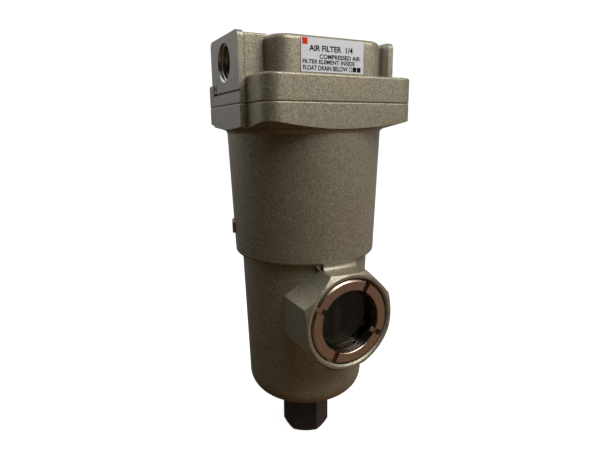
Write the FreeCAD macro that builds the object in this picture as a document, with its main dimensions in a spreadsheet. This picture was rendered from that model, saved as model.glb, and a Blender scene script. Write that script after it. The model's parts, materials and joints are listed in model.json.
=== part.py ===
"""Compressed air filter with a pre-filter, a metal bowl, a sight glass and a float drain.

Millimetres, +Z up. The origin is the centre of the drain outlet's mouth. Air comes in at -X
and leaves at +X, and the label and the sight glass face -Y.
"""
import FreeCAD, Part
import math
import os
import Sketcher

doc = FreeCAD.newDocument("air_filter")

# ---------------------------------------------------------------- driving dimensions
SIZES = (
    # heights above the drain outlet's mouth
    ("bowl_bottom", 19.7), ("sight_height", 60.2), ("step_height", 80.0), ("wall_top", 126.4),
    ("seam_height", 136.4), ("flange_top", 145.15), ("port_height", 150.85),
    ("block_top", 158.3), ("boss_top", 159.0), ("pad_top", 159.7),
    # head
    ("flange_half_x", 29.2), ("flange_half_y", 30.8), ("flange_corner", 5.7),
    ("block_half_x", 22.3), ("block_half_y", 22.2), ("block_corner", 6.8),
    ("in_boss_half_y", 14.0), ("out_boss_half_y", 10.2), ("pad_half_y", 14.64),
    ("pad_face", 31.5), ("pad_back", 29.4), ("relief_width", 0.4), ("relief_depth", 0.5),
    ("port_radius", 6.58), ("port_depth", 11.0), ("passage_radius", 5.7),
    ("well_radius", 10.0), ("well_top", 154.0), ("socket_radius", 14.0), ("socket_end", 131.0),
    ("gallery_inner", 15.5), ("gallery_outer", 24.5), ("gallery_top", 142.0),
    ("slot_height", 140.6), ("slot_width", 0.8), ("slot_depth", 1.0),
    ("edge_round", 0.8), ("block_round", 1.8), ("pad_corner", 2.1),
    ("seam_round", 0.5), ("boss_overlap", 1.5),
    # screws that hold the bowl to the head
    ("screw_x", 23.6), ("screw_y", 25.4), ("screw_radius", 2.0), ("screw_head", 3.5),
    ("screw_head_height", 4.0), ("screw_hole", 2.25), ("counterbore", 4.1),
    ("counterbore_depth", 5.2), ("screw_length", 10.0), ("tapped_floor", 130.0),
    ("key_flats", 3.0), ("key_depth", 2.2), ("washer_thickness", 0.8), ("washer_radius", 3.7),
    # bracket holes in the top of the head
    ("bracket_half_y", 16.0), ("bracket_hole", 2.5), ("bracket_depth", 8.0),
    # bowl
    ("flange_slope", 0.275), ("cone_apex", 119.33), ("wall_top_radius", 29.6),
    ("step_radius", 27.9), ("lower_top_radius", 25.4), ("lower_foot_radius", 23.5),
    ("bore_top_radius", 25.9), ("bore_step_radius", 24.9), ("bore_step", 84.0),
    ("well_top_radius", 22.4), ("well_foot_radius", 20.8), ("floor_height", 23.2),
    ("foot_round", 8.0), ("step_round", 1.3), ("root_round", 1.6),
    ("seal_inner", 26.9), ("seal_outer", 29.1), ("seal_depth", 1.5),
    ("mark_height", 90.3), ("mark_tall", 4.3), ("mark_proud", 0.9),
    # sight glass, measured along -Y from the bowl's axis
    ("sight_flats", 35.8), ("sight_face", 35.2), ("sight_rim", 17.55), ("sight_chamfer", 1.7),
    ("sight_root", 14.0), ("sight_bore", 16.1), ("sight_lip", 0.6), ("bridge_turn", 14.0),
    ("bridge_round", 2.0), ("boss_root_round", 1.0), ("gusset_half", 10.2),
    ("gusset_front", 25.8),
    ("sight_seat", 27.2), ("sight_window", 10.5), ("glass_radius", 13.6), ("glass_front", 30.8),
    ("glass_bore", 13.9), ("ring_seat", 31.1), ("ring_edge", 0.55), ("ring_front", 35.0),
    ("ring_radius", 15.6), ("ring_hole", 11.75), ("ring_slot", 2.0), ("ring_slot_depth", 2.4),
    ("ring_slot_turn", 62.0),
    ("glass_seal_inner", 11.2), ("glass_seal_outer", 13.2), ("glass_seal_depth", 1.2),
    # label
    ("label_left", 12.6), ("label_right", 12.2), ("label_low", 146.5), ("label_high", 157.3),
    ("label_thickness", 0.2),
    # filter element
    ("spigot_radius", 9.9), ("spigot_bore", 7.0), ("spigot_top", 139.0), ("cap_top", 130.8),
    ("cap_bottom", 126.8), ("cap_radius", 21.6), ("cap_recess", 2.0), ("foot_cap_top", 89.5),
    ("foot_cap_bottom", 85.0), ("core_inner", 8.0), ("core_wall", 0.8), ("prefilter_inner", 9.0),
    ("prefilter_outer", 12.4), ("mist_inner", 12.6), ("mist_outer", 17.4), ("shell_inner", 17.6),
    ("sock_inner", 18.6), ("sock_outer", 21.0), ("vent_radius", 1.3), ("vent_pitch", 7.0),
    ("element_seal_low", 133.6), ("element_seal_high", 135.4), ("element_seal_inner", 8.5),
    # float drain
    ("drain_flats", 17.0), ("drain_chamfer", 0.7), ("outlet_radius", 6.58), ("outlet_depth", 9.0),
    ("web_bore", 4.0), ("web_top", 10.4), ("neck_radius", 5.6), ("neck_bore", 3.6),
    ("neck_end", 10.8), ("floor_hole", 5.8), ("housing_radius", 16.4), ("housing_flange", 3.4),
    ("chamber_outer", 10.0), ("chamber_bore", 8.0), ("chamber_top", 43.5), ("lid_top", 45.5),
    ("inlet_hole", 1.5), ("inlet_height", 29.4), ("tube_radius", 2.8), ("tube_bore", 1.0),
    ("tube_top", 64.6), ("nozzle_radius", 1.7), ("nozzle_bore", 0.4), ("nozzle_foot", 60.0),
    ("nozzle_top", 66.2), ("seat_low", 15.0), ("seat_high", 16.5), ("seat_bore", 2.7),
    ("housing_seal_inner", 7.4), ("housing_seal_outer", 9.8), ("housing_seal_depth", 1.5),
    ("piston_radius", 7.7), ("piston_bottom", 35.4), ("piston_top", 40.4), ("stem_radius", 1.5),
    ("poppet_radius", 3.2), ("poppet_bottom", 12.5), ("valve_pad_low", 14.1),
    ("valve_pad_high", 14.95), ("piston_seal_inner", 6.3), ("piston_seal_outer", 7.9),
    ("piston_seal_low", 37.0), ("piston_seal_high", 38.8), ("spring_radius", 5.2),
    ("spring_wire", 0.8), ("spring_turns", 4.0),
    ("guard_inner", 15.0), ("guard_outer", 16.2), ("guard_top", 72.0), ("guard_window", 9.5),
    ("guard_window_low", 30.0), ("guard_window_high", 68.0),
    ("float_hole", 3.2), ("float_radius", 13.4), ("float_bottom", 45.6), ("float_top", 60.0),
    ("post_radius", 1.0), ("post_arm", 9.0), ("post_top", 66.2),
    ("bracket_plate", 1.1), ("bracket_front", 3.5), ("ear_inner", 3.0), ("ear_outer", 4.5),
    ("ear_reach", 2.5), ("ear_top", 70.0), ("pivot_arm", 8.0), ("pivot_height", 68.0),
    ("pin_radius", 0.8), ("pin_hole", 0.88), ("pin_half_length", 4.7),
    ("lever_low", 66.8), ("lever_high", 69.2), ("lever_half_width", 2.6), ("lever_tail", 1.8),
    ("lever_end", 10.6), ("lever_pad_radius", 1.5), ("lever_pad_low", 66.25),
)

sheet = doc.addObject("Spreadsheet::Sheet", "Sizes")
for row, (alias, number) in enumerate(SIZES, start=1):
    sheet.set(f"A{row}", alias)
    sheet.set(f"B{row}", str(number))
    sheet.setAlias(f"B{row}", alias)
doc.recompute()


class Size:
    """A length that carries both its number and the expression that ties it to the sheet."""

    def __init__(self, number, text):
        self.number = float(number)
        self.text = text

    def __add__(self, other):
        return self.joined("+", as_size(other), self.number + as_size(other).number)

    def __radd__(self, other):
        return as_size(other) + self

    def __sub__(self, other):
        return self.joined("-", as_size(other), self.number - as_size(other).number)

    def __rsub__(self, other):
        return as_size(other) - self

    def __mul__(self, other):
        return self.joined("*", as_size(other), self.number * as_size(other).number)

    def __rmul__(self, other):
        return as_size(other) * self

    def __truediv__(self, other):
        return self.joined("/", as_size(other), self.number / as_size(other).number)

    def __neg__(self):
        return Size(-self.number, f"(0 - {self.text})")

    def joined(self, sign, other, number):
        return Size(number, f"({self.text} {sign} {other.text})")


def as_size(value):
    return value if isinstance(value, Size) else Size(value, f"{value:.9g}")


class Sheet:
    """The sheet's cells by name, as sizes."""

    def __init__(self, sizes):
        for alias, number in sizes:
            setattr(self, alias, Size(number, f"Sizes.{alias}"))


d = Sheet(SIZES)

# ---------------------------------------------------------------- sketches and features
# Each axis a piece is turned about: its sketch plane, the sketch's own axis, and the height of
# that axis above the origin. Points are (radius, height) for the upright axis, (distance along
# the axis, radius) for the others.
AXES = {
    "upright": ("XZ_Plane", "V_Axis", None),
    "port": ("XZ_Plane", "H_Axis", d.port_height),
    "sight": ("YZ_Plane", "H_Axis", d.sight_height),
}
pieces = []


def new_piece(label):
    """An empty body; its label names the file it is written to."""
    body = doc.addObject("PartDesign::Body", label)
    body.Label = label
    pieces.append(body)
    return body


def bind(feature, prop, size):
    """Tie one property of a feature to the sheet."""
    feature.setExpression(prop, as_size(size).text)


def new_sketch(body, plane, offset=None, lift=None, turn=0.0):
    """A sketch on one of the body's own planes, moved off it, up it or turned about its Y."""
    sketch = body.newObject("Sketcher::SketchObject", f"{body.Name}_sketch")
    support = [item for item in body.Origin.OriginFeatures if item.Role == plane][0]
    sketch.AttachmentSupport = [(support, "")]
    sketch.MapMode = "FlatFace"
    away = as_size(offset if offset is not None else 0)
    up = as_size(lift if lift is not None else 0)
    turned_frame = FreeCAD.Rotation(FreeCAD.Vector(0, 1, 0), turn)
    base = FreeCAD.Vector(0, up.number, away.number)
    sketch.AttachmentOffset = FreeCAD.Placement(base, turned_frame)
    if offset is not None:
        bind(sketch, "AttachmentOffset.Base.z", away)
    if lift is not None:
        bind(sketch, "AttachmentOffset.Base.y", up)
    return sketch


def hold_point(sketch, line, end, x, y):
    """Hold one end of a line at sizes (x, y) from the sketch's origin."""
    for size, kind, axis in ((x, "DistanceX", -2), (y, "DistanceY", -1)):
        if abs(size.number) < 1e-9:
            sketch.addConstraint(Sketcher.Constraint("PointOnObject", line, end, axis))
            continue
        ends = (-1, 1, line, end) if size.number > 0 else (line, end, -1, 1)
        held = size if size.number > 0 else -size
        index = sketch.addConstraint(Sketcher.Constraint(kind, *ends, held.number))
        bind(sketch, f"Constraints[{index}]", held)


def arc_between(start, end, radius):
    """The arc from start to end, anticlockwise for a positive radius."""
    chord = end - start
    across = FreeCAD.Vector(-chord.y, chord.x, 0).normalize() * math.copysign(1, radius)
    centre = start + chord * 0.5 + across * math.sqrt(radius ** 2 - chord.Length ** 2 / 4)
    first, last = (start, end) if radius > 0 else (end, start)
    turns = [math.atan2(point.y - centre.y, point.x - centre.x) for point in (first, last)]
    circle = Part.Circle(centre, FreeCAD.Vector(0, 0, 1), abs(radius))
    return Part.ArcOfCircle(circle, *turns)


def draw_outline(sketch, points):
    """A closed outline through points given as sizes.

    A third size on a point makes the side that leaves it an arc of that radius,
    anticlockwise where it is positive.
    """
    first = sketch.GeometryCount
    count = len(points)
    vectors = [FreeCAD.Vector(as_size(x).number, as_size(y).number, 0) for x, y, *_ in points]
    ends = []
    for index, (_, _, *bend) in enumerate(points):
        start, end = vectors[index], vectors[(index + 1) % count]
        if not bend:
            sketch.addGeometry(Part.LineSegment(start, end), False)
            ends.append((1, 2))
            continue
        radius = as_size(bend[0])
        geometry = sketch.addGeometry(arc_between(start, end, radius.number), False)
        held = radius if radius.number > 0 else -radius
        tie = sketch.addConstraint(Sketcher.Constraint("Radius", geometry, held.number))
        bind(sketch, f"Constraints[{tie}]", held)
        ends.append((1, 2) if radius.number > 0 else (2, 1))
    for index, (x, y, *_) in enumerate(points):
        after = (index + 1) % count
        sketch.addConstraint(Sketcher.Constraint("Coincident", first + index, ends[index][1],
                                                 first + after, ends[after][0]))
        hold_point(sketch, first + index, ends[index][0], as_size(x), as_size(y))


def draw_circle(sketch, x, y, radius):
    """A circle with its centre at sizes (x, y)."""
    x, y, radius = as_size(x), as_size(y), as_size(radius)
    centre = FreeCAD.Vector(x.number, y.number, 0)
    circle = Part.Circle(centre, FreeCAD.Vector(0, 0, 1), radius.number)
    geometry = sketch.addGeometry(circle, False)
    index = sketch.addConstraint(Sketcher.Constraint("Radius", geometry, radius.number))
    bind(sketch, f"Constraints[{index}]", radius)
    hold_point(sketch, geometry, 3, x, y)


def rectangle(low_x, high_x, low_y, high_y):
    return ((low_x, low_y), (high_x, low_y), (high_x, high_y), (low_x, high_y))


def regular_outline(sides, flats, first_corner=0.0):
    """Corners of a regular outline, from its width across flats; angles in degrees."""
    reach = 0.5 / math.cos(math.pi / sides)
    turns = [math.radians(first_corner + 360.0 * side / sides) for side in range(sides)]
    return [(flats * (reach * math.cos(turn)), flats * (reach * math.sin(turn)))
            for turn in turns]


def turned(body, points, axis="upright", cut=False, angle=360.0, turn=0.0):
    """Add, or cut, a solid of revolution."""
    plane, line, height = AXES[axis]
    sketch = new_sketch(body, plane, lift=height, turn=turn)
    draw_outline(sketch, points)
    kind = "Groove" if cut else "Revolution"
    feature = body.newObject(f"PartDesign::{kind}", f"{body.Name}_turned")
    feature.Profile = sketch
    feature.ReferenceAxis = (sketch, [line])
    feature.Angle = angle
    return feature


def extruded(body, sketch, length, cut=False, reverse=False):
    """Pad, or pocket, a sketch by a length."""
    kind = "Pocket" if cut else "Pad"
    feature = body.newObject(f"PartDesign::{kind}", f"{body.Name}_extruded")
    feature.Profile = sketch
    feature.Length = as_size(length).number
    bind(feature, "Length", length)
    feature.Reversed = reverse
    return feature


def box(body, low_x, high_x, low_y, high_y, low_z, high_z, cut=False):
    """Add, or cut, a square block between six sizes."""
    sketch = new_sketch(body, "XY_Plane", offset=low_z)
    draw_outline(sketch, rectangle(low_x, high_x, low_y, high_y))
    return extruded(body, sketch, as_size(high_z) - low_z, cut=cut, reverse=cut)


def cylinder(body, centre_x, centre_y, radius, low_z, high_z, cut=False):
    """Add, or cut, an upright cylinder."""
    sketch = new_sketch(body, "XY_Plane", offset=low_z)
    draw_circle(sketch, centre_x, centre_y, radius)
    return extruded(body, sketch, as_size(high_z) - low_z, cut=cut, reverse=cut)


def tube_points(inner, outer, low, high):
    return ((inner, low), (outer, low), (outer, high), (inner, high))


def fillet(body, radius, chosen):
    """Round the tip's edges that `chosen` picks."""
    doc.recompute()
    base = body.Tip
    names = [f"Edge{index}" for index, edge in enumerate(base.Shape.Edges, start=1)
             if chosen(edge)]
    if not names:
        raise RuntimeError(f"{body.Label}: no edge to round")
    feature = body.newObject("PartDesign::Fillet", f"{body.Name}_fillet")
    feature.Base = (base, names)
    feature.Radius = as_size(radius).number
    bind(feature, "Radius", radius)
    return feature


def near(value, size, slack=0.02):
    return abs(value - as_size(size).number) < slack


def upright_edge(edge):
    """True for a straight edge that runs along Z."""
    bounds = edge.BoundBox
    return bounds.ZLength > 0.5 and bounds.XLength < 0.01 and bounds.YLength < 0.01


def level_edge(edge, height):
    """True for an edge that lies flat at a height."""
    return edge.BoundBox.ZLength < 0.01 and near(edge.BoundBox.ZMin, height)


def ring_edge(edge, radius, height):
    """True for a flat round edge about the upright axis."""
    bounds = edge.BoundBox
    return level_edge(edge, height) and near(bounds.XMax, radius, 0.05)


def polar(body, feature, sketch, count, axis="V_Axis"):
    """Repeat a feature in a ring about one of its sketch's axes."""
    pattern = body.newObject("PartDesign::PolarPattern", f"{body.Name}_ring")
    pattern.Originals = [feature]
    pattern.Axis = (sketch, [axis])
    pattern.Angle = 360.0
    pattern.Occurrences = count
    body.Tip = pattern
    return pattern


SIDES = (-1, 1)
CORNERS = [(sign_x, sign_y) for sign_x in SIDES for sign_y in SIDES]


# ---------------------------------------------------------------- head
def flange_outline(body, low, high):
    """The flange plate's outline, which the head and the bowl share."""
    plate = box(body, -d.flange_half_x, d.flange_half_x, -d.flange_half_y, d.flange_half_y,
                low, high)
    fillet(body, d.flange_corner, upright_edge)
    return plate


def make_head():
    body = new_piece("filter_head")
    flange_outline(body, d.seam_height, d.flange_top)
    box(body, -d.block_half_x, d.block_half_x, -d.block_half_y, d.block_half_y,
        d.seam_height, d.block_top)
    fillet(body, d.block_corner, lambda edge: upright_edge(edge)
           and near(abs(edge.BoundBox.XMin), d.block_half_x))
    fillet(body, d.block_round, lambda edge: level_edge(edge, d.block_top))
    fillet(body, d.edge_round, lambda edge: level_edge(edge, d.flange_top)
           and not (edge.BoundBox.XMax < d.block_half_x.number + 0.1
                    and edge.BoundBox.XMin > -d.block_half_x.number - 0.1
                    and edge.BoundBox.YMax < d.block_half_y.number + 0.1
                    and edge.BoundBox.YMin > -d.block_half_y.number - 0.1))
    for side in SIDES:
        make_port_boss(body, side)
    fillet(body, d.seam_round, lambda edge: level_edge(edge, d.seam_height))
    turned(body, tube_points(0, d.socket_radius, d.socket_end, d.seam_height + 1))
    turned(body, ((0, d.socket_end - 1), (d.well_radius, d.socket_end - 1),
                  (d.well_radius, d.well_top), (0, d.well_top)), cut=True)
    turned(body, tube_points(d.gallery_inner, d.gallery_outer, d.seam_height - 1,
                             d.gallery_top), cut=True)
    for side in SIDES:
        make_port(body, side)
    cylinder(body, (d.gallery_inner + d.gallery_outer) / 2, 0, d.passage_radius * 0.75,
             d.seam_height, d.port_height, cut=True)
    for sign_x, sign_y in CORNERS:
        x, y = sign_x * d.screw_x, sign_y * d.screw_y
        cylinder(body, x, y, d.screw_hole, d.seam_height - 1, d.flange_top + 1, cut=True)
        cylinder(body, x, y, d.counterbore, d.flange_top - d.counterbore_depth,
                 d.flange_top + 1, cut=True)
    for sign in SIDES:
        cylinder(body, 0, sign * d.bracket_half_y, d.bracket_hole,
                 d.block_top - d.bracket_depth, d.block_top + 1, cut=True)
    return body


def make_port_boss(body, side):
    """One port's square boss, the flat pad that stands proud of it, and a relief between."""
    half_y = d.out_boss_half_y if side > 0 else d.in_boss_half_y
    inner, outer = d.block_half_x - d.boss_overlap, d.pad_back + 1
    low_x, high_x = (inner, outer) if side > 0 else (-outer, -inner)
    box(body, low_x, high_x, -half_y, half_y, d.flange_top - 1, d.boss_top)
    fillet(body, d.edge_round, lambda edge: level_edge(edge, d.boss_top)
           and abs(edge.BoundBox.Center.y) > half_y.number - 0.1
           and edge.BoundBox.Center.x * side > 0)
    for back, foot, top in ((d.flange_half_x - 1, d.seam_height, d.flange_top),
                            (d.pad_back, d.flange_top - 1, d.pad_top)):
        low_x, high_x = (back, d.pad_face) if side > 0 else (-d.pad_face, -back)
        box(body, low_x, high_x, -d.pad_half_y, d.pad_half_y, foot, top)
    fillet(body, d.pad_corner, lambda edge: level_edge(edge, d.pad_top)
           and abs(edge.BoundBox.Center.y) > d.pad_half_y.number - 0.1
           and edge.BoundBox.Center.x * side > 0)
    inner, outer = d.pad_back - d.relief_width, d.pad_back
    low_x, high_x = (inner, outer) if side > 0 else (-outer, -inner)
    for low_y, high_y in ((-d.pad_half_y, -half_y + d.relief_depth),
                          (half_y - d.relief_depth, d.pad_half_y)):
        box(body, low_x, high_x, low_y, high_y, d.flange_top, d.boss_top + 1, cut=True)


def make_port(body, side):
    """One port: its threaded mouth, the passage behind it, and the slot across its pad."""
    face, mouth = d.pad_face * side, (d.pad_face - d.port_depth) * side
    reach = (0 if side < 0 else d.gallery_inner - 1.5) * side
    turned(body, ((face + side, 0), (face + side, d.port_radius), (mouth, d.port_radius),
                  (mouth, 0)), axis="port", cut=True)
    turned(body, ((mouth + side, 0), (mouth + side, d.passage_radius),
                  (reach, d.passage_radius), (reach, 0)), axis="port", cut=True)
    inner, outer = face - d.slot_depth * side, face + side
    low_x, high_x = (inner, outer) if side > 0 else (outer, inner)
    box(body, low_x, high_x, -d.pad_half_y - 1, d.pad_half_y - 1.5,
        d.slot_height - d.slot_width / 2, d.slot_height + d.slot_width / 2, cut=True)


# ---------------------------------------------------------------- bowl
def make_bowl():
    body = new_piece("bowl")
    root = d.cone_apex + d.flange_slope * d.wall_top_radius
    rim = d.flange_half_y * 1.5
    turned(body, ((0, d.bowl_bottom), (d.lower_foot_radius, d.bowl_bottom),
                  (d.lower_top_radius, d.step_height), (d.step_radius, d.step_height),
                  (d.wall_top_radius, d.wall_top), (d.wall_top_radius, root),
                  (rim, d.cone_apex + d.flange_slope * rim), (rim, d.seam_height),
                  (0, d.seam_height)))
    sketch = new_sketch(body, "XY_Plane", offset=d.seam_height)
    draw_outline(sketch, rectangle(-2 * rim, 2 * rim, -2 * rim, 2 * rim))
    draw_outline(sketch, flange_points())
    extruded(body, sketch, d.seam_height - d.wall_top, cut=True)
    fillet(body, d.flange_corner, lambda edge: upright_edge(edge)
           and near(abs(edge.BoundBox.XMin), d.flange_half_x)
           and near(abs(edge.BoundBox.YMin), d.flange_half_y))
    fillet(body, d.seam_round, lambda edge: level_edge(edge, d.seam_height))
    fillet(body, d.foot_round, lambda edge: ring_edge(edge, d.lower_foot_radius, d.bowl_bottom))
    fillet(body, d.step_round, lambda edge: ring_edge(edge, d.step_radius, d.step_height))
    fillet(body, d.root_round, lambda edge: ring_edge(edge, d.wall_top_radius, root))
    make_sight_boss(body)
    mark = turned(body, tube_points(d.step_radius - 1, d.step_radius + 0.4 + d.mark_proud,
                                    d.mark_height - d.mark_tall / 2,
                                    d.mark_height + d.mark_tall / 2), angle=18.0, turn=160.0)
    mark.Midplane = True
    turned(body, ((0, d.floor_height), (d.housing_radius + 1, d.floor_height),
                  (d.well_foot_radius, d.floor_height + 3), (d.well_top_radius, d.bore_step - 2.4),
                  (d.bore_step_radius, d.bore_step), (d.bore_top_radius, d.seam_height + 1),
                  (0, d.seam_height + 1)), cut=True)
    turned(body, tube_points(d.seal_inner, d.seal_outer, d.seam_height - d.seal_depth,
                             d.seam_height + 1), cut=True)
    cylinder(body, 0, 0, d.floor_hole, d.bowl_bottom - 1, d.floor_height + 1, cut=True)
    for sign_x, sign_y in CORNERS:
        cylinder(body, sign_x * d.screw_x, sign_y * d.screw_y, d.screw_radius,
                 d.tapped_floor, d.seam_height + 1, cut=True)
    turned(body, tube_points(-d.sight_seat - 0.01, -d.sight_root, 0, d.sight_window),
           axis="sight", cut=True)
    turned(body, tube_points(-d.glass_front - 0.01, -d.sight_seat, 0, d.glass_bore),
           axis="sight", cut=True)
    turned(body, tube_points(-d.sight_face - 1, -d.glass_front, 0, d.sight_bore),
           axis="sight", cut=True)
    turned(body, tube_points(-d.sight_seat - 0.01, -d.sight_seat + d.glass_seal_depth,
                             d.glass_seal_inner, d.glass_seal_outer), axis="sight", cut=True)
    return body


def flange_points():
    """The flange's outline with its port pads, before its corners are rounded."""
    half_x, half_y, pad_x, pad_y = d.flange_half_x, d.flange_half_y, d.pad_face, d.pad_half_y
    return ((half_x, -half_y), (half_x, -pad_y), (pad_x, -pad_y), (pad_x, pad_y),
            (half_x, pad_y), (half_x, half_y), (-half_x, half_y), (-half_x, pad_y),
            (-pad_x, pad_y), (-pad_x, -pad_y), (-half_x, -pad_y), (-half_x, -half_y))


def boss_root_edge(edge):
    """True for an edge where the sight glass's boss meets the lower wall."""
    middle = edge.valueAt((edge.FirstParameter + edge.LastParameter) / 2)
    rise = (middle.z - d.bowl_bottom.number) / (d.step_height - d.bowl_bottom).number
    wall = d.lower_foot_radius.number + rise * (d.lower_top_radius
                                                - d.lower_foot_radius).number
    off_axis = math.hypot(middle.x, middle.z - d.sight_height.number)
    reach = d.sight_flats.number / 2
    return (middle.y < 0 and abs(math.hypot(middle.x, middle.y) - wall) < 0.3
            and reach - 0.1 < off_axis < reach / math.cos(math.pi / 8) + 0.1)


def make_sight_boss(body):
    """The eight-sided boss for the sight glass, and its bridge and gusset up to the step."""
    sketch = new_sketch(body, "XZ_Plane", offset=d.sight_root, lift=d.sight_height)
    draw_outline(sketch, regular_outline(8, d.sight_flats, first_corner=22.5))
    extruded(body, sketch, d.sight_face - d.sight_root)
    fillet(body, d.boss_root_round, boss_root_edge)
    slope = (d.sight_flats / 2 + 1.5 - d.sight_rim) / d.sight_chamfer
    turned(body, ((-d.sight_face - 1, d.sight_rim - slope),
                  (-d.sight_face + d.sight_chamfer, d.sight_rim + slope * d.sight_chamfer),
                  (-d.sight_face + d.sight_chamfer, d.sight_flats),
                  (-d.sight_face - 1, d.sight_flats)), axis="sight", cut=True)
    mouth = d.sight_bore + d.sight_lip
    turned(body, ((-d.sight_face - 1, 0), (-d.sight_face - 1, mouth + 1),
                  (-d.sight_face, mouth), (-d.sight_face + d.sight_lip, d.sight_bore),
                  (-d.sight_face + d.sight_lip, 0)), axis="sight", cut=True)
    flat = d.sight_height + d.sight_flats / 2
    inner, bend = d.sight_root + 8, d.bridge_round
    top = d.step_height + d.step_round + 0.3
    bridge = turned(body, ((inner, flat - 1), (d.step_radius + bend, flat - 1),
                           (d.step_radius + bend, flat, -bend), (d.step_radius, flat + bend),
                           (d.step_radius, top), (inner, top)),
                    angle=2 * d.bridge_turn.number, turn=-90.0)
    bridge.Midplane = True
    sketch = new_sketch(body, "XZ_Plane", offset=inner)
    half = d.sight_flats / 2 * math.tan(math.pi / 8)
    draw_outline(sketch, ((-half, flat - 0.5), (half, flat - 0.5), (d.gusset_half, top),
                          (-d.gusset_half, top)))
    extruded(body, sketch, d.gusset_front - inner)


def make_bowl_fittings():
    """The seal between bowl and head, and the screws and washers that close it."""
    seal = new_piece("bowl_seal")
    turned(seal, tube_points(d.seal_inner + 0.1, d.seal_outer - 0.1,
                             d.seam_height - d.seal_depth, d.seam_height))
    washers = new_piece("screw_washers")
    screws = new_piece("bowl_screws")
    seat = d.flange_top - d.counterbore_depth
    under_head = seat + d.washer_thickness
    crown = under_head + d.screw_head_height
    for body, parts in ((screws, ((d.screw_radius, under_head - d.screw_length, under_head + 1),
                                  (d.screw_head, under_head, crown))),
                        (washers, ((d.washer_radius, seat, under_head),))):
        body.AllowCompound = True
        for radius, low, high in parts:
            sketch = new_sketch(body, "XY_Plane", offset=low)
            for sign_x, sign_y in CORNERS:
                draw_circle(sketch, sign_x * d.screw_x, sign_y * d.screw_y, radius)
            extruded(body, sketch, high - low)
    sockets = new_sketch(screws, "XY_Plane", offset=crown)
    holes = new_sketch(washers, "XY_Plane", offset=under_head)
    for sign_x, sign_y in CORNERS:
        x, y = sign_x * d.screw_x, sign_y * d.screw_y
        draw_outline(sockets, [(x + key_x, y + key_y)
                               for key_x, key_y in regular_outline(6, d.key_flats)])
        draw_circle(holes, x, y, d.screw_hole)
    extruded(screws, sockets, d.key_depth, cut=True)
    extruded(washers, holes, d.washer_thickness, cut=True)


# ---------------------------------------------------------------- label and sight glass
def make_label():
    body = new_piece("name_label")
    box(body, -d.label_left, d.label_right, -d.block_half_y - d.label_thickness,
        -d.block_half_y, d.label_low, d.label_high)


def make_sight_glass():
    """The glass, its seal behind, and the washer and slotted ring in front of it."""
    seal = new_piece("sight_glass_seal")
    turned(seal, tube_points(-d.sight_seat, -d.sight_seat + d.glass_seal_depth,
                             d.glass_seal_inner + 0.1, d.glass_seal_outer - 0.1), axis="sight")
    glass = new_piece("sight_glass")
    turned(glass, tube_points(-d.glass_front, -d.sight_seat, 0, d.glass_radius), axis="sight")
    washer = new_piece("sight_glass_washer")
    turned(washer, tube_points(-d.ring_seat, -d.glass_front, d.ring_hole + 0.2,
                               d.ring_radius - 0.1), axis="sight")
    ring = new_piece("sight_glass_ring")
    edge = d.ring_edge
    turned(ring, ((-d.ring_seat, d.ring_hole), (-d.ring_front + edge / 3, d.ring_hole),
                  (-d.ring_front, d.ring_hole + edge / 3), (-d.ring_front, d.ring_radius - edge),
                  (-d.ring_front + edge, d.ring_radius), (-d.ring_seat, d.ring_radius)),
           axis="sight")
    slots = new_sketch(ring, "XZ_Plane", offset=d.ring_front, lift=d.sight_height)
    turn = math.radians(d.ring_slot_turn.number)
    reach = d.ring_radius + 1
    for along, across in ((math.cos(turn), math.sin(turn)), (math.sin(turn), -math.cos(turn))):
        for sign in SIDES:
            near_end, half = sign * (d.ring_hole - 1), d.ring_slot / 2
            corners = ((near_end, half), (near_end, -half), (sign * reach, -half),
                       (sign * reach, half))
            draw_outline(slots, [(x * along - y * across, x * across + y * along)
                                 for x, y in corners])
    extruded(ring, slots, d.ring_slot_depth, cut=True)


# ---------------------------------------------------------------- filter element
def make_element():
    """The element: two caps, two perforated cores, two filter layers and a foam sock."""
    recess_top = d.cap_bottom + d.cap_recess
    recess_foot = d.foot_cap_top - d.cap_recess
    cap = new_piece("element_top_cap")
    turned(cap, ((d.spigot_bore, d.cap_bottom), (d.core_inner, d.cap_bottom),
                 (d.core_inner, recess_top), (d.sock_outer, recess_top),
                 (d.sock_outer, d.cap_bottom), (d.cap_radius, d.cap_bottom),
                 (d.cap_radius, d.cap_top - 1), (d.cap_radius - 1, d.cap_top),
                 (d.spigot_radius, d.cap_top), (d.spigot_radius, d.element_seal_low),
                 (d.element_seal_inner, d.element_seal_low),
                 (d.element_seal_inner, d.element_seal_high),
                 (d.spigot_radius, d.element_seal_high), (d.spigot_radius, d.spigot_top),
                 (d.spigot_bore, d.spigot_top)))
    seal = new_piece("element_seal")
    turned(seal, tube_points(d.element_seal_inner, d.well_radius - 0.05,
                             d.element_seal_low + 0.05, d.element_seal_high - 0.05))
    foot = new_piece("element_bottom_cap")
    turned(foot, ((0, d.foot_cap_bottom), (d.cap_radius - 1.5, d.foot_cap_bottom),
                  (d.cap_radius, d.foot_cap_bottom + 1.5), (d.cap_radius, d.foot_cap_top),
                  (d.sock_outer, d.foot_cap_top), (d.sock_outer, recess_foot),
                  (d.core_inner, recess_foot), (d.core_inner, d.foot_cap_top - 0.5),
                  (0, d.foot_cap_top - 0.5)))
    for label, inner, outer, holes in (
            ("element_inner_core", d.core_inner, d.core_inner + d.core_wall, 8),
            ("prefilter_layer", d.prefilter_inner, d.prefilter_outer, 0),
            ("coalescing_layer", d.mist_inner, d.mist_outer, 0),
            ("element_outer_core", d.shell_inner, d.shell_inner + d.core_wall, 14),
            ("drain_sock", d.sock_inner, d.sock_outer, 0)):
        layer = new_piece(label)
        turned(layer, tube_points(inner, outer, recess_foot, recess_top))
        if holes:
            perforate(layer, outer, holes, recess_foot, recess_top)


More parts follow.
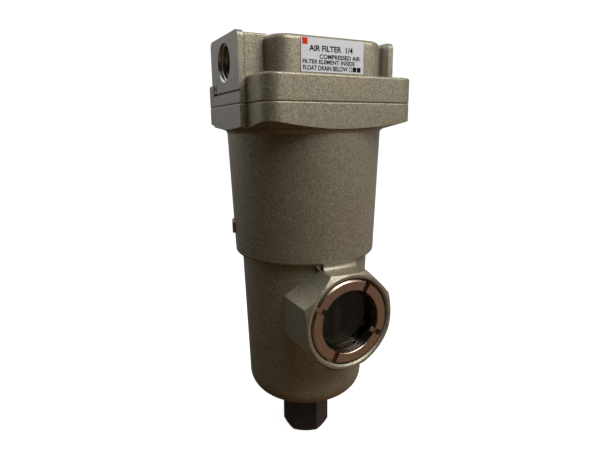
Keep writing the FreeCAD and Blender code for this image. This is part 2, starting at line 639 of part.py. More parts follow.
def perforate(body, outer, count, low, high):
    """Rows of round holes through a tube's wall, all the way round."""
    sketch = new_sketch(body, "XZ_Plane")
    rows = int((high - low).number / d.vent_pitch.number)
    first = (low + high) / 2 - (rows - 1) / 2 * d.vent_pitch
    for row in range(rows):
        draw_circle(sketch, 0, first + row * d.vent_pitch, d.vent_radius)
    drilled = extruded(body, sketch, outer + 1, cut=True)
    polar(body, drilled, sketch, count)


# ---------------------------------------------------------------- float drain
def make_drain_guide():
    """The black hexagon under the bowl, tapped for the drain line."""
    body = new_piece("drain_guide")
    sketch = new_sketch(body, "XY_Plane")
    draw_outline(sketch, regular_outline(6, d.drain_flats, first_corner=30.0))
    extruded(body, sketch, d.bowl_bottom)
    across, rise = d.drain_flats / 2 - 0.1, d.drain_chamfer
    slope = 2.0
    turned(body, ((across - slope, -1), (across + slope * rise, rise),
                  (across + slope * rise + 2, rise), (across + slope * rise + 2, -1)), cut=True)
    turned(body, tube_points(0, d.outlet_radius, -1, d.outlet_depth), cut=True)
    turned(body, tube_points(0, d.web_bore, d.outlet_depth - 0.01, d.web_top + 0.01), cut=True)
    turned(body, tube_points(0, d.neck_radius, d.web_top, d.bowl_bottom + 1), cut=True)


def make_drain_housing():
    """The drain's housing: its neck through the bowl, the piston chamber and the tube above."""
    body = new_piece("drain_housing")
    flange_top = d.floor_height + d.housing_flange
    turned(body, ((d.neck_bore, d.neck_end), (d.neck_radius, d.neck_end),
                  (d.neck_radius, d.floor_height), (d.housing_seal_inner, d.floor_height),
                  (d.housing_seal_inner, d.floor_height + d.housing_seal_depth),
                  (d.housing_seal_outer, d.floor_height + d.housing_seal_depth),
                  (d.housing_seal_outer, d.floor_height), (d.housing_radius, d.floor_height),
                  (d.housing_radius, flange_top), (d.chamber_outer, flange_top),
                  (d.chamber_outer, d.lid_top), (d.tube_radius, d.lid_top),
                  (d.tube_radius, d.tube_top), (d.nozzle_radius, d.tube_top),
                  (d.nozzle_radius, d.nozzle_foot), (d.tube_bore, d.nozzle_foot),
                  (d.tube_bore, d.chamber_top), (d.chamber_bore, d.chamber_top),
                  (d.chamber_bore, flange_top), (d.neck_bore, flange_top),
                  (d.neck_bore, d.seat_high), (d.seat_bore, d.seat_high),
                  (d.seat_bore, d.seat_low), (d.neck_bore, d.seat_low)))
    sketch = new_sketch(body, "XZ_Plane")
    draw_circle(sketch, 0, d.inlet_height, d.inlet_hole)
    drilled = extruded(body, sketch, d.chamber_outer + 1, cut=True)
    polar(body, drilled, sketch, 4)
    seal = new_piece("drain_housing_seal")
    turned(seal, tube_points(d.housing_seal_inner + 0.1, d.housing_seal_outer - 0.1,
                             d.floor_height, d.floor_height + d.housing_seal_depth))
    nozzle = new_piece("pilot_nozzle")
    turned(nozzle, ((d.nozzle_bore, d.nozzle_foot), (d.nozzle_radius, d.nozzle_foot),
                    (d.nozzle_radius, d.nozzle_top - 0.4),
                    (d.nozzle_radius - 0.6, d.nozzle_top), (d.nozzle_bore, d.nozzle_top)))


def make_drain_piston():
    """The piston that opens the drain, with its seal, its spring and the poppet below."""
    body = new_piece("drain_piston")
    turned(body, ((0, d.poppet_bottom), (d.stem_radius, d.poppet_bottom),
                  (d.stem_radius, d.piston_bottom), (d.piston_radius, d.piston_bottom),
                  (d.piston_radius, d.piston_seal_low), (d.piston_seal_inner, d.piston_seal_low),
                  (d.piston_seal_inner, d.piston_seal_high),
                  (d.piston_radius, d.piston_seal_high), (d.piston_radius, d.piston_top),
                  (0, d.piston_top)))
    seal = new_piece("piston_seal")
    turned(seal, tube_points(d.piston_seal_inner, d.piston_seal_outer,
                             d.piston_seal_low + 0.05, d.piston_seal_high - 0.05))
    poppet = new_piece("drain_poppet")
    turned(poppet, tube_points(d.stem_radius, d.poppet_radius, d.poppet_bottom,
                               d.valve_pad_low))
    pad = new_piece("poppet_seal")
    turned(pad, tube_points(d.stem_radius, d.poppet_radius, d.valve_pad_low,
                            d.valve_pad_high))
    make_piston_spring()


def make_piston_spring():
    """A round-wire spring between the chamber's floor and the piston."""
    body = new_piece("piston_spring")
    wire = d.spring_wire / 2
    foot = d.floor_height + d.housing_flange + wire + 0.05
    height = d.piston_bottom - wire - 0.05 - foot
    sketch = new_sketch(body, "XZ_Plane", lift=foot)
    draw_circle(sketch, d.spring_radius, 0, wire)
    coil = body.newObject("PartDesign::AdditiveHelix", "piston_spring_coil")
    coil.Profile = sketch
    coil.ReferenceAxis = (sketch, ["V_Axis"])
    coil.Mode = "height-turns-growth"
    coil.Height = height.number
    bind(coil, "Height", height)
    coil.Turns = d.spring_turns.number
    bind(coil, "Turns", d.spring_turns)


def make_float_parts():
    """The guard, the float inside it, and the lever that opens the pilot nozzle."""
    guard = new_piece("float_guard")
    turned(guard, tube_points(d.guard_inner, d.guard_outer,
                              d.floor_height + d.housing_flange, d.guard_top))
    windows = new_sketch(guard, "XZ_Plane")
    half = d.guard_window / 2
    draw_outline(windows, rectangle(-half, half, d.guard_window_low, d.guard_window_high))
    cut_out = extruded(guard, windows, d.guard_outer + 1, cut=True)
    polar(guard, cut_out, windows, 6)
    float_body = new_piece("float")
    turned(float_body, ((d.float_hole, d.float_bottom), (d.float_radius - 1, d.float_bottom),
                        (d.float_radius, d.float_bottom + 1), (d.float_radius, d.float_top - 1),
                        (d.float_radius - 1, d.float_top), (d.float_hole, d.float_top)))
    cylinder(float_body, d.post_arm, 0, d.post_radius, d.float_top - 1, d.post_top)
    make_lever_bracket()
    make_lever()


def make_lever_bracket():
    body = new_piece("lever_bracket")
    plate_top = d.tube_top + d.bracket_plate
    tail, ear_front = -d.pivot_arm - d.ear_reach, -d.pivot_arm + d.ear_reach
    box(body, tail, d.bracket_front, -d.ear_outer, d.ear_outer, d.tube_top, plate_top)
    for low_y, high_y in ((-d.ear_outer, -d.ear_inner), (d.ear_inner, d.ear_outer)):
        box(body, tail, ear_front, low_y, high_y, plate_top - 0.5, d.ear_top)
    cylinder(body, 0, 0, d.nozzle_radius, d.tube_top - 1, plate_top + 1, cut=True)
    bore_along_y(body, d.pin_radius)


def bore_along_y(body, radius):
    """A hole on the lever's pivot, right through."""
    sketch = new_sketch(body, "XZ_Plane", offset=-d.ear_outer - 1)
    draw_circle(sketch, -d.pivot_arm, d.pivot_height, radius)
    return extruded(body, sketch, 2 * d.ear_outer + 2, cut=True, reverse=True)


def make_lever():
    lever = new_piece("float_lever")
    box(lever, -d.pivot_arm - d.lever_tail, d.lever_end, -d.lever_half_width,
        d.lever_half_width, d.lever_low, d.lever_high)
    cylinder(lever, 0, 0, d.lever_pad_radius, d.lever_low - 1, d.lever_high + 1, cut=True)
    bore_along_y(lever, d.pin_hole)
    pad = new_piece("pilot_pad")
    cylinder(pad, 0, 0, d.lever_pad_radius, d.lever_pad_low, d.lever_high)
    pin = new_piece("lever_pin")
    sketch = new_sketch(pin, "XZ_Plane", offset=-d.pin_half_length)
    draw_circle(sketch, -d.pivot_arm, d.pivot_height, d.pin_radius)
    extruded(pin, sketch, 2 * d.pin_half_length)


# ---------------------------------------------------------------- what is written out
def write_pieces():
    """Check every object, then write each piece to its own file."""
    doc.recompute()
    for item in doc.Objects:
        if "Invalid" in item.State or "Error" in item.State:
            raise RuntimeError(f"{item.Label} failed: {item.State}")
    os.makedirs("parts", exist_ok=True)
    for body in pieces:
        shape = body.Shape
        if shape.isNull() or not shape.isValid():
            raise RuntimeError(f"{body.Label} has no valid shape")
        shape.exportStep(os.path.join("parts", f"{body.Label}.step"))
        bounds = shape.optimalBoundingBox()
        print(f"{body.Label:20s} solids {len(shape.Solids)} volume {shape.Volume:9.1f}"
              f"  x {bounds.XMin:6.2f} {bounds.XMax:6.2f}  y {bounds.YMin:6.2f} {bounds.YMax:6.2f}"
              f"  z {bounds.ZMin:6.2f} {bounds.ZMax:6.2f}")


for make in (make_head, make_bowl, make_bowl_fittings, make_label, make_sight_glass,
             make_element, make_drain_guide, make_drain_housing, make_drain_piston,
             make_float_parts):
    make()
write_pieces()
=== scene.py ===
"""Looks of the compressed air filter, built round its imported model.

Metres, +Z up, in the model's own frame: the origin is the centre of the drain outlet's mouth,
air comes in at -X and leaves at +X, and the label and the sight glass face -Y.
"""

import json
import math

import bmesh
import bpy
from mathutils import Matrix, Vector


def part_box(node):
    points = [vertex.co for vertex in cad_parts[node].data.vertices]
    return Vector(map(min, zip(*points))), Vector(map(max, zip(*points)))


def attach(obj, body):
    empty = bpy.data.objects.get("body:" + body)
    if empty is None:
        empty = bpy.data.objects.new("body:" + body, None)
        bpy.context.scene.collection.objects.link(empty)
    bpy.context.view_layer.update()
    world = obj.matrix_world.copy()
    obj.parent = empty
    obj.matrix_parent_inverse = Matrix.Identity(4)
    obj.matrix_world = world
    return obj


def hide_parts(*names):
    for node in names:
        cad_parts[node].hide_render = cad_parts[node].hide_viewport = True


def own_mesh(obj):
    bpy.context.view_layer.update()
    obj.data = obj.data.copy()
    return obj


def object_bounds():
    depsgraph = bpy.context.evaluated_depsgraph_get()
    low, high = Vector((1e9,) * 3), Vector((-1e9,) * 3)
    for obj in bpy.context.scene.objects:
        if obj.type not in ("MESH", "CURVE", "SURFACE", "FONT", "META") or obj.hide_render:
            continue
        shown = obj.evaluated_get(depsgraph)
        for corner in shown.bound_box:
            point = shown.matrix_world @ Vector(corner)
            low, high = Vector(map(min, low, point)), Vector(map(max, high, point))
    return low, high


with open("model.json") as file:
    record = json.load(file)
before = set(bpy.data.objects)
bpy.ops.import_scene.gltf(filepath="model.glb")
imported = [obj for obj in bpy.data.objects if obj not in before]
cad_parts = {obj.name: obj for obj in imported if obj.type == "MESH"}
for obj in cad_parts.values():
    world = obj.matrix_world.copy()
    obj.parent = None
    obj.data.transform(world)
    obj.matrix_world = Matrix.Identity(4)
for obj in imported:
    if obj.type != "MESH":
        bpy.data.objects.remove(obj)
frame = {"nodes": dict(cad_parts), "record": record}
cad_low, cad_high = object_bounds()
MM = 0.001
MOUNTS = {mount["name"]: mount for mount in frame["record"]["mounts"]}


# ---------------------------------------------------------------- camera, floor and lights
def make_camera():
    """The camera stands in front of the filter, round towards the inlet, and looks down."""
    turn, down, roll = (math.radians(angle) for angle in (27.49, 11.98, -0.58))
    stand = Vector((-0.08531, -0.16025, 0.12783))
    data = bpy.data.cameras.new("camera")
    data.sensor_width = 36.0
    data.lens = 27.085
    data.clip_start = 0.01
    camera = bpy.data.objects.new("camera", data)
    bpy.context.scene.collection.objects.link(camera)
    camera.matrix_world = (Matrix.Translation(stand) @ Matrix.Rotation(-turn, 4, "Z")
                           @ Matrix.Rotation(math.pi / 2 - down, 4, "X")
                           @ Matrix.Rotation(roll, 4, "Z"))
    bpy.context.scene.camera = camera


def make_floor():
    """A pale floor that lights nothing but itself, so that the paint keeps its dark side."""
    reach, gap = 6.0, 0.2 * MM
    mesh = bpy.data.meshes.new("floor")
    bottom = cad_low.z - gap
    corners = [(-reach, -reach, bottom), (reach, -reach, bottom), (reach, reach, bottom),
               (-reach, reach, bottom)]
    mesh.from_pydata(corners, [], [(0, 1, 2, 3)])
    floor = bpy.data.objects.new("floor", mesh)
    bpy.context.scene.collection.objects.link(floor)
    floor.visible_glossy = False
    floor.visible_diffuse = False
    floor.visible_transmission = False
    paint = Graph("floor", base=(0.80, 0.80, 0.80), roughness=0.9,
                  emission_color=(1, 1, 1, 1), emission_strength=0.80)
    mesh.materials.append(paint.material)


def toward(around, up):
    """The direction that lies `around` degrees from the front towards +X, and `up` degrees up."""
    around, up = math.radians(around), math.radians(up)
    return Vector((math.sin(around) * math.cos(up), -math.cos(around) * math.cos(up),
                   math.sin(up)))


def make_light(name, around, up, size, power):
    """One soft panel that faces the middle of the filter."""
    distance = 0.5
    data = bpy.data.lights.new(name, "AREA")
    data.shape = "SQUARE"
    data.size = size
    data.energy = power
    light = bpy.data.objects.new(name, data)
    light.location = (cad_low + cad_high) / 2 + toward(around, up) * distance
    light.rotation_mode = "QUATERNION"
    light.rotation_quaternion = (-toward(around, up)).to_track_quat("-Z", "Y")
    bpy.context.scene.collection.objects.link(light)


# Soft glows of the studio round the filter: where from, in degrees, how tight, and the colour.
GLOWS = (
    (0, -90, 2.0, (0.05, 0.015, 0.01)),
    (0, -40, 4.0, (0.15, 0.115, 0.085)),
    (60, -40, 4.0, (0.12, 0.05, 0.01)),
    (-60, -40, 4.0, (0.07, 0.05, 0.01)),
    (45, 0, 4.0, (0.13, 0.13, 0.13)),
    (135, 0, 4.0, (0.34, 0.34, 0.34)),
    (85, -12, 14.0, (0.24, 0.22, 0.20)),
    (60, 40, 4.0, (0.07, 0.07, 0.07)),
    (-150, 40, 4.0, (1.10, 1.10, 1.10)),
)


def make_world():
    """The studio's soft glows light the filter; the camera sees plain white."""
    world = bpy.data.worlds.new("studio")
    bpy.context.scene.world = world
    world.use_nodes = True
    nodes, links = world.node_tree.nodes, world.node_tree.links
    ray = nodes.new("ShaderNodeTexCoord").outputs["Generated"]
    total = None
    for around, up, tightness, color in GLOWS:
        facing = nodes.new("ShaderNodeVectorMath")
        facing.operation = "DOT_PRODUCT"
        facing.inputs[1].default_value = toward(around, up)
        links.new(ray, facing.inputs[0])
        lobe = nodes.new("ShaderNodeMath")
        lobe.operation = "POWER"
        lobe.inputs[1].default_value = tightness
        held = nodes.new("ShaderNodeClamp")
        links.new(facing.outputs["Value"], held.inputs["Value"])
        links.new(held.outputs[0], lobe.inputs[0])
        tint = nodes.new("ShaderNodeVectorMath")
        tint.operation = "SCALE"
        tint.inputs[0].default_value = color
        links.new(lobe.outputs[0], tint.inputs["Scale"])
        if total is None:
            total = tint.outputs[0]
            continue
        both = nodes.new("ShaderNodeVectorMath")
        links.new(total, both.inputs[0])
        links.new(tint.outputs[0], both.inputs[1])
        total = both.outputs[0]
    glow = nodes["Background"]
    links.new(total, glow.inputs["Color"])
    white = nodes.new("ShaderNodeBackground")
    white.inputs["Color"].default_value = (1, 1, 1, 1)
    white.inputs["Strength"].default_value = 1.05
    rays = nodes.new("ShaderNodeLightPath")
    mix = nodes.new("ShaderNodeMixShader")
    links.new(rays.outputs["Is Camera Ray"], mix.inputs["Fac"])
    links.new(glow.outputs[0], mix.inputs[1])
    links.new(white.outputs[0], mix.inputs[2])
    links.new(mix.outputs[0], nodes["World Output"].inputs["Surface"])


def make_lighting():
    """Two soft panels on the label's side, and the studio's glows."""
    make_light("key_light", 16, 52, 0.30, 1.86)
    make_light("side_light", 40, 35, 0.30, 0.65)
    make_world()
    bpy.context.scene.view_settings.view_transform = "Standard"


# ---------------------------------------------------------------- materials
class Graph:
    """One material and short calls for its nodes; `sockets` are more of its shader's inputs."""

    def __init__(self, name, base=(0.5, 0.5, 0.5), roughness=0.5, metallic=0.0, **sockets):
        self.material = bpy.data.materials.new(name)
        self.material.use_nodes = True
        self.tree = self.material.node_tree
        self.shader = self.tree.nodes["Principled BSDF"]
        self.base = base
        self.shader.inputs["Base Color"].default_value = (*base, 1)
        self.shader.inputs["Roughness"].default_value = roughness
        self.shader.inputs["Metallic"].default_value = metallic
        for socket, value in sockets.items():
            title = socket.replace("_", " ").title().replace("Ior", "IOR")
            self.shader.inputs[title].default_value = value
        self.place = self.node("ShaderNodeTexCoord").outputs["Object"]

    def node(self, kind, inputs=None, **settings):
        node = self.tree.nodes.new(kind)
        for key, value in settings.items():
            setattr(node, key, value)
        for key, value in (inputs or {}).items():
            if isinstance(value, bpy.types.NodeSocket):
                self.tree.links.new(value, node.inputs[key])
            else:
                node.inputs[key].default_value = value
        return node

    def link(self, output, socket):
        self.tree.links.new(output, self.shader.inputs[socket])

    def math(self, operation, *values):
        inputs = dict(enumerate(values))
        return self.node("ShaderNodeMath", inputs, operation=operation).outputs[0]

    def noise(self, feature, detail=2.0, stretch=None):
        """Noise whose features are about `feature` millimetres wide, from 0 to 1."""
        place = self.place
        if stretch:
            place = self.node("ShaderNodeMapping", {"Vector": place, "Scale": stretch}).outputs[0]
        return self.node("ShaderNodeTexNoise", {"Vector": place, "Scale": 1 / (feature * MM),
                                                "Detail": detail}).outputs["Fac"]

    def cells(self, feature, output="Color"):
        """Cells about `feature` millimetres wide: their random colour, or their distance."""
        return self.node("ShaderNodeTexVoronoi", {"Vector": self.place,
                                                  "Scale": 1 / (feature * MM)}).outputs[output]

    def ramp(self, value, low, high, to_low=0.0, to_high=1.0):
        """Map a range of a value to another, with its ends held."""
        return self.node("ShaderNodeMapRange", {"Value": value, "From Min": low,
                                                "From Max": high, "To Min": to_low,
                                                "To Max": to_high}).outputs[0]

    def mix(self, factor, first, second):
        """Mix two colours, each a socket or three numbers."""
        first, second = (value if isinstance(value, bpy.types.NodeSocket) else (*value, 1)
                         for value in (first, second))
        node = self.node("ShaderNodeMix", {"Factor": factor}, data_type="RGBA")
        for index, value in ((6, first), (7, second)):
            if isinstance(value, bpy.types.NodeSocket):
                self.tree.links.new(value, node.inputs[index])
            else:
                node.inputs[index].default_value = value
        return node.outputs[2]

    def bump(self, height, depth, strength=1.0, normal=None):
        """Bump of `depth` millimetres."""
        inputs = {"Height": height, "Distance": depth * MM, "Strength": strength}
        if normal is not None:
            inputs["Normal"] = normal
        return self.node("ShaderNodeBump", inputs).outputs[0]

    def axes(self):
        """The place's X, Y and Z, in metres."""
        return self.node("ShaderNodeSeparateXYZ", {"Vector": self.place}).outputs


def scaled(color, factor):
    """A colour made darker or brighter."""
    return tuple(value * factor for value in color)


def make_paint():
    """Metallic champagne paint, with fine flakes in an orange-peel coat.

    Both port faces are bare metal. The inner face of the outlet's pad above the flange gets a
    pale metal colour, much lighter than the port faces: painted light that brightens this face in
    its shaded recess.
    """
    # The first colour is the port faces' own bare metal. The second is painted light for the
    # outlet pad's shaded inner face.
    faced_color, painted_light_color = (0.34, 0.32, 0.285), (0.66, 0.64, 0.56)
    paint = Graph("champagne_paint", base=(0.298, 0.265, 0.19), metallic=0.6)
    axes = paint.axes()
    port_face, _, port_height = MOUNTS["out_port"]["pos_m"]
    skin, slack = 0.08 * MM, 0.04 * MM
    pad_back = port_face - 2.1 * MM
    flange_top = port_height - 5.7 * MM
    faced = paint.math("GREATER_THAN", paint.math("ABSOLUTE", axes["X"]), port_face - skin)
    # Painted light: this mask picks out the outlet pad's inner face above the flange, which
    # stands in a shaded recess.
    painted_light_face = paint.math("MULTIPLY", paint.math("COMPARE", axes["X"], pad_back, slack),
                        paint.math("GREATER_THAN", axes["Z"], flange_top))
    faced_or_painted_light = paint.math("MAXIMUM", faced, painted_light_face)
    flake_size, flake_depth, peel_size, peel_depth, cloud_size = 0.32, 0.03, 0.34, 0.07, 9.0
    flake = paint.node("ShaderNodeSeparateColor", {"Color": paint.cells(flake_size)}).outputs
    grain = paint.mix(flake["Red"], scaled(paint.base, 0.56), scaled(paint.base, 1.44))
    cloud = paint.ramp(paint.noise(cloud_size, 3.0), 0.3, 0.7, 0.0, 0.3)
    grain = paint.mix(cloud, grain, paint.base)
    grain = paint.mix(faced, grain, faced_color)
    # Painted light: the pale colour lightens the pad's shaded inner face.
    paint.link(paint.mix(painted_light_face, grain, painted_light_color), "Base Color")
    paint.link(paint.ramp(flake["Green"], 0.0, 1.0, 0.34, 0.54), "Roughness")
    # No orange-peel bump on the bare port faces, nor on the pad's inner face that carries the
    # painted light.
    strength = paint.math("MULTIPLY", paint.math("SUBTRACT", 1.0, faced_or_painted_light), 0.6)
    peel = paint.bump(paint.noise(peel_size), peel_depth, strength)
    paint.link(paint.bump(flake["Blue"], flake_depth, strength, peel), "Normal")
    return paint.material


def make_plain(name, base, roughness, metallic=0.0, grain=1.0, depth=0.01, shade=0.2, **sockets):
    """A surface with a fine grain in its colour, its gloss and its relief."""
    surface = Graph(name, base=base, roughness=roughness, metallic=metallic, **sockets)
    fine, broad = surface.noise(grain), surface.noise(grain * 12, 3.0)
    tone = surface.ramp(surface.math("ADD", fine, broad), 0.7, 1.3)
    surface.link(surface.mix(tone, scaled(base, 1 - shade), scaled(base, 1 + shade)),
                 "Base Color")
    surface.link(surface.ramp(broad, 0.3, 0.7, roughness * 0.85, min(1.0, roughness * 1.15)),
                 "Roughness")
    surface.link(surface.bump(fine, depth), "Normal")
    return surface.material


def make_turned(name, base, roughness, centre, across, pitch=0.12, depth=0.004):
    """Bright metal with the fine rings that a lathe leaves round a centre."""
    metal = Graph(name, base=base, roughness=roughness, metallic=1.0)
    axes = metal.axes()
    squares = [metal.math("POWER", metal.math("SUBTRACT", axes[axis], centre[axis]), 2.0)
               for axis in across]
    radius = metal.math("SQRT", metal.math("ADD", *squares))
    rings = metal.math("SINE", metal.math("MULTIPLY", radius, 2 * math.pi / (pitch * MM)))
    haze = metal.noise(1.5, 3.0)
    metal.link(metal.mix(haze, scaled(base, 0.85), scaled(base, 1.1)), "Base Color")
    metal.link(metal.ramp(haze, 0.3, 0.7, roughness * 0.8, roughness * 1.25), "Roughness")
    metal.link(metal.bump(rings, depth, 0.5), "Normal")
    return metal.material


def make_glass():
    """Slightly wavy greenish glass; its low index keeps the studio's reflection down."""
    glass = Graph("sight_glass", base=(0.35, 0.44, 0.38), roughness=0.03,
                  transmission_weight=1.0, ior=1.35)
    glass.link(glass.bump(glass.noise(6.0), 0.01, 0.3), "Normal")
    return glass.material


def make_label_film():
    """Silver-white film, brushed along its length."""
    film = Graph("label_film", base=(0.62, 0.62, 0.64), roughness=0.32, metallic=0.15)
    brushed = film.noise(0.5, 2.0, stretch=(1, 1, 12))
    film.link(film.mix(brushed, (0.56, 0.56, 0.58), (0.68, 0.68, 0.70)), "Base Color")
    film.link(film.bump(film.noise(3.0), 0.01, 0.4), "Normal")
    return film.material


def make_felt(name, base, fibre):
    """Matted fibres, for the filter layers."""
    felt = Graph(name, base=base, roughness=0.95)
    strand = felt.noise(fibre, 5.0, stretch=(1, 1, 3))
    cross = felt.noise(fibre, 5.0, stretch=(3, 3, 1))
    both = felt.math("MAXIMUM", strand, cross)
    felt.link(felt.mix(felt.ramp(both, 0.4, 0.8), scaled(base, 0.6), base), "Base Color")
    felt.link(felt.bump(both, 0.25), "Normal")
    return felt.material


def make_foam(name, base, pore):
    """Open foam: round pores with thin walls."""
    foam = Graph(name, base=base, roughness=0.9)
    wall = foam.ramp(foam.cells(pore, "Distance"), 0.1, 0.6)
    foam.link(foam.mix(wall, scaled(base, 0.35), base), "Base Color")
    foam.link(foam.bump(wall, 0.3), "Normal")
    return foam.material


def crisp_edges(mesh, most=math.radians(15)):
    """Shade flats as flat: a corner whose normal leans more than `most` gets its face's own."""
    normals = []
    for face in mesh.polygons:
        for corner in face.loop_indices:
            normal = mesh.corner_normals[corner].vector.copy()
            leans = normal.angle(face.normal, 0.0) > most
            normals.append(face.normal.copy() if leans else normal)
    mesh.normals_split_custom_set(normals)


def dress_nodes():
    """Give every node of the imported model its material."""
    glass_low, glass_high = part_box("sight_glass")
    sight = (glass_low + glass_high) / 2
    drain = Vector((0, 0, 0))
    paint = make_paint()
    rubber = make_plain("rubber", (0.018, 0.018, 0.018), 0.6, grain=0.3, depth=0.02)
    steel = make_plain("zinc_steel", (0.45, 0.45, 0.44), 0.32, 1.0, grain=0.2)
    wire = make_plain("drawn_steel", (0.52, 0.52, 0.52), 0.22, 1.0, grain=0.2)
    resin = make_plain("acetal", (0.62, 0.61, 0.56), 0.45, grain=0.5)
    cap = make_plain("black_nylon", (0.035, 0.035, 0.038), 0.5, grain=0.4, depth=0.02)
    brass = make_turned("brass", (0.62, 0.44, 0.17), 0.25, drain, (0, 1))
    black = make_plain("black_coat", (0.030, 0.026, 0.024), 0.38, 0.3, grain=0.35, depth=0.03)
    felt = make_felt("filter_felt", (0.78, 0.77, 0.73), 0.4)
    materials = {
        "filter_head": paint, "bowl": paint,
        "bowl_seal": rubber, "sight_glass_seal": rubber, "element_seal": rubber,
        "drain_housing_seal": rubber, "piston_seal": rubber, "poppet_seal": rubber,
        "pilot_pad": rubber,
        "screw_washers": steel, "bowl_screws": steel,
        "lever_bracket": wire, "lever_pin": wire, "piston_spring": wire,
        "element_inner_core": wire, "element_outer_core": wire,
        "name_label": make_label_film(),
        "sight_glass": make_glass(),
        "sight_glass_washer": make_plain("fibre_washer", (0.02, 0.018, 0.016), 0.7, grain=0.3),
        # The ring is nickel plated. Its copper-brown colour is a painted warm reflection.
        "sight_glass_ring": make_turned("satin_nickel", (0.47, 0.34, 0.26), 0.28, sight, (0, 2)),
        "element_top_cap": cap, "element_bottom_cap": cap,
        "prefilter_layer": felt, "coalescing_layer": felt,
        "drain_sock": make_foam("sock_foam", (0.62, 0.46, 0.16), 0.7),
        "drain_guide": black,
        "drain_housing": resin, "drain_piston": resin, "float_guard": resin,
        "float_lever": resin,
        "pilot_nozzle": brass, "drain_poppet": brass,
        "float": make_foam("float_foam", (0.55, 0.42, 0.24), 0.4),
    }
    for name, node in frame["nodes"].items():
        node.data.materials.clear()
        node.data.materials.append(materials[name])
        crisp_edges(node.data)


# ---------------------------------------------------------------- threads in the ports
def make_thread(mount_name, material, pitch=1.337, depth=0.856):
    """A pipe thread inside one port: a closed sleeve whose inside is a helix of V grooves."""
    mount = MOUNTS[mount_name]
    axis = Vector(mount["axis"])
    mouth = Vector(mount["pos_m"])
    wall_gap, end_gap, start = 0.02, 0.15, 0.03
    bevel_start, sleeve = 0.1, 0.01
    major = mount["dims"]["r_mm"] - wall_gap
    length = mount["dims"]["length_mm"] - end_gap
    around, per_turn = 96, 14
    steps = int(length / pitch * per_turn)
    side = axis.orthogonal().normalized()
    other = axis.cross(side)
    mesh = bmesh.new()
    columns = []
    for index in range(around):
        turn = 2 * math.pi * index / around
        outward = side * math.cos(turn) + other * math.sin(turn)
        column = []
        for step in range(steps + 1):
            inward = start + length * step / steps
            phase = (inward / pitch - index / around) % 1.0
            ridge = min(1.0, max(0.0, 1.35 * (1 - abs(2 * phase - 1)) - 0.15))
            radius = min(major - depth * ridge, major)
            lead_in = major - max(0.0, inward - bevel_start)
            radius = max(radius, lead_in)
            column.append(mesh.verts.new(mouth + (outward * radius - axis * inward) * MM))
        for inward in (start + length, start):
            outer = outward * (major + sleeve) - axis * inward
            column.append(mesh.verts.new(mouth + outer * MM))
        columns.append(column)
    count = len(columns[0])
    for index in range(around):
        here, there = columns[index], columns[(index + 1) % around]
        for step in range(count):
            after = (step + 1) % count
            mesh.faces.new((here[step], here[after], there[after], there[step]))
    bmesh.ops.recalc_face_normals(mesh, faces=mesh.faces)
    add_piece(mesh, f"{mount_name}_thread", "housing", material, smooth=True)


def make_spring():
    """A copy of the piston's spring, carried by the housing in place of the imported one."""
    node = frame["nodes"]["piston_spring"]
    spring = bpy.data.objects.new("closing_spring", node.data.copy())
    spring.matrix_world = node.matrix_world
    bpy.context.scene.collection.objects.link(spring)
    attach(spring, "housing")
    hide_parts("piston_spring")
    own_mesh(spring)


def add_piece(mesh, name, body, material, smooth=False):
    """Turn a bmesh into a piece that rides on a body."""
    data = bpy.data.meshes.new(name)
    mesh.to_mesh(data)
    mesh.free()
    for face in data.polygons:
        face.use_smooth = smooth
    piece = bpy.data.objects.new(name, data)
    bpy.context.scene.collection.objects.link(piece)
    data.materials.append(material)
    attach(piece, body)


# ---------------------------------------------------------------- what is printed
def letters(mesh, words, size, place, right, up, width, weight):
    """Add a line of plain letters to a mesh, `size` high and `width` wide in millimetres."""
    curve = bpy.data.curves.new("letters", "FONT")
    curve.body = words
    curve.size = 1.0
    curve.extrude = 0.004
    curve.offset = weight
    holder = bpy.data.objects.new("letters", curve)
    bpy.context.scene.collection.objects.link(holder)
    bpy.context.view_layer.update()
    graph = bpy.context.evaluated_depsgraph_get()
    drawn = bpy.data.meshes.new_from_object(holder.evaluated_get(graph))
    bpy.data.objects.remove(holder)
    capital_height = 0.69
    high = size / capital_height * MM
    spans = [vertex.co.x for vertex in drawn.vertices]
    wide = width * MM / (max(spans) - min(spans))
    outward = right.cross(up)
    frame_of = Matrix((right * wide, up * high, outward * high)).transposed().to_4x4()
    frame_of.translation = place
    drawn.transform(frame_of)
    mesh.from_mesh(drawn)
    bpy.data.meshes.remove(drawn)


def slab(mesh, low, high):
    """Add a thin block between two corners."""
    size, middle = high - low, (low + high) / 2
    matrix = Matrix.Translation(middle) @ Matrix.Diagonal((*size, 1))
    bmesh.ops.create_cube(mesh, size=1.0, matrix=matrix)


# The label's lines: the words, then in millimetres their height, place and width.
LABEL_LINES = (
    ("AIR FILTER  1/4", 1.75, 3.2, 4.1, 17.2),
    ("COMPRESSED AIR", 1.3, 7.0, 6.4, 16.4),
    ("FILTER ELEMENT INSIDE", 1.25, 0.5, 8.1, 20.6),
    ("FLOAT DRAIN BELOW", 1.4, 0.6, 10.15, 17.6),
)
# The printed blocks after the last line: left, right, low and high edges, in millimetres from
# the label's top left corner. Two are solid, and four bars make an empty box.
LABEL_BLOCKS = (
    (20.3, 21.85, 10.2, 8.6), (22.1, 23.65, 10.2, 8.6),
    (18.8, 20.0, 10.2, 10.0), (18.8, 20.0, 8.8, 8.6),
    (18.8, 19.0, 10.0, 8.8), (19.8, 20.0, 10.0, 8.8),
)


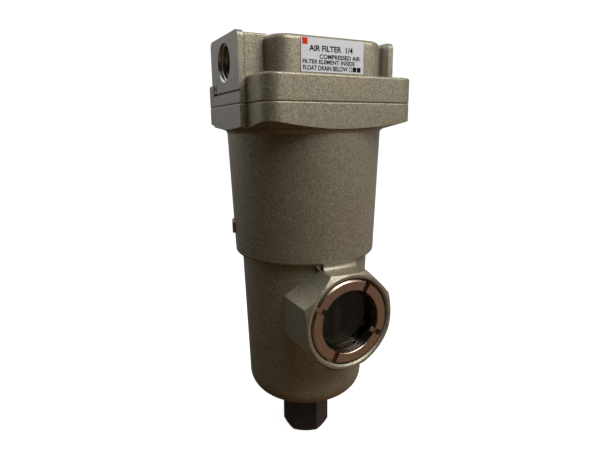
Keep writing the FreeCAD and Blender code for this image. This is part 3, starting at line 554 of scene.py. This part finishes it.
def print_label():
    """Plain words and blocks on the label, and its orange square."""
    low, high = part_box("name_label")
    right, up = Vector((1, 0, 0)), Vector((0, 0, 1))
    lift, ink_depth, weight = 0.004 * MM, 0.012 * MM, 0.032
    proud = Vector((0, ink_depth, 0))

    def at(across, down):
        """A place on the label, in millimetres from its top left corner."""
        return Vector((low.x + across * MM, low.y - lift, high.z - down * MM))

    black = make_plain("label_ink", (0.006, 0.006, 0.007), 0.6, grain=0.2, depth=0.001,
                       specular_ior_level=0.1)
    orange = make_plain("label_orange", (0.62, 0.035, 0.005), 0.6, grain=0.2, depth=0.001,
                        shade=0.08, specular_ior_level=0.1)
    ink = bmesh.new()
    for words, size, across, down, width in LABEL_LINES:
        letters(ink, words, size, at(across, down), right, up, width, weight)
    for left, right_edge, bottom, top in LABEL_BLOCKS:
        slab(ink, at(left, bottom), at(right_edge, top) - proud)
    add_piece(ink, "label_print", "housing", black)
    flag = bmesh.new()
    slab(flag, at(0.5, 2.25), at(2.5, 0.15) - proud)
    add_piece(flag, "label_flag", "housing", orange)


def mark_ports():
    """The small marks low on each port's pad that say which way the air goes."""
    ink = make_plain("port_ink", (0.02, 0.02, 0.02), 0.6, grain=0.2, depth=0.001)
    up = Vector((0, 0, 1))
    drop, inset, lift = 9.6 * MM, 13.7 * MM, 0.002 * MM
    size, weight = 2.8, 0.03
    for mount_name, words, width in (("in_port", "IN", 4.4), ("out_port", "OUT", 7.6)):
        mount = MOUNTS[mount_name]
        outward = Vector(mount["axis"])
        right = up.cross(outward)
        place = Vector(mount["pos_m"]) + outward * lift - up * drop - right * inset
        mesh = bmesh.new()
        letters(mesh, words, size, place, right, up, width, weight)
        add_piece(mesh, f"{mount_name}_mark", "housing", ink)


make_camera()
make_lighting()
make_floor()
dress_nodes()
bare_metal = make_plain("bare_aluminium", (0.62, 0.61, 0.58), 0.25, 1.0, grain=0.3)
for port in ("in_port", "out_port"):
    make_thread(port, bare_metal)
make_thread("drain_port", frame["nodes"]["drain_guide"].data.materials[0])
make_spring()
print_label()
mark_ports()
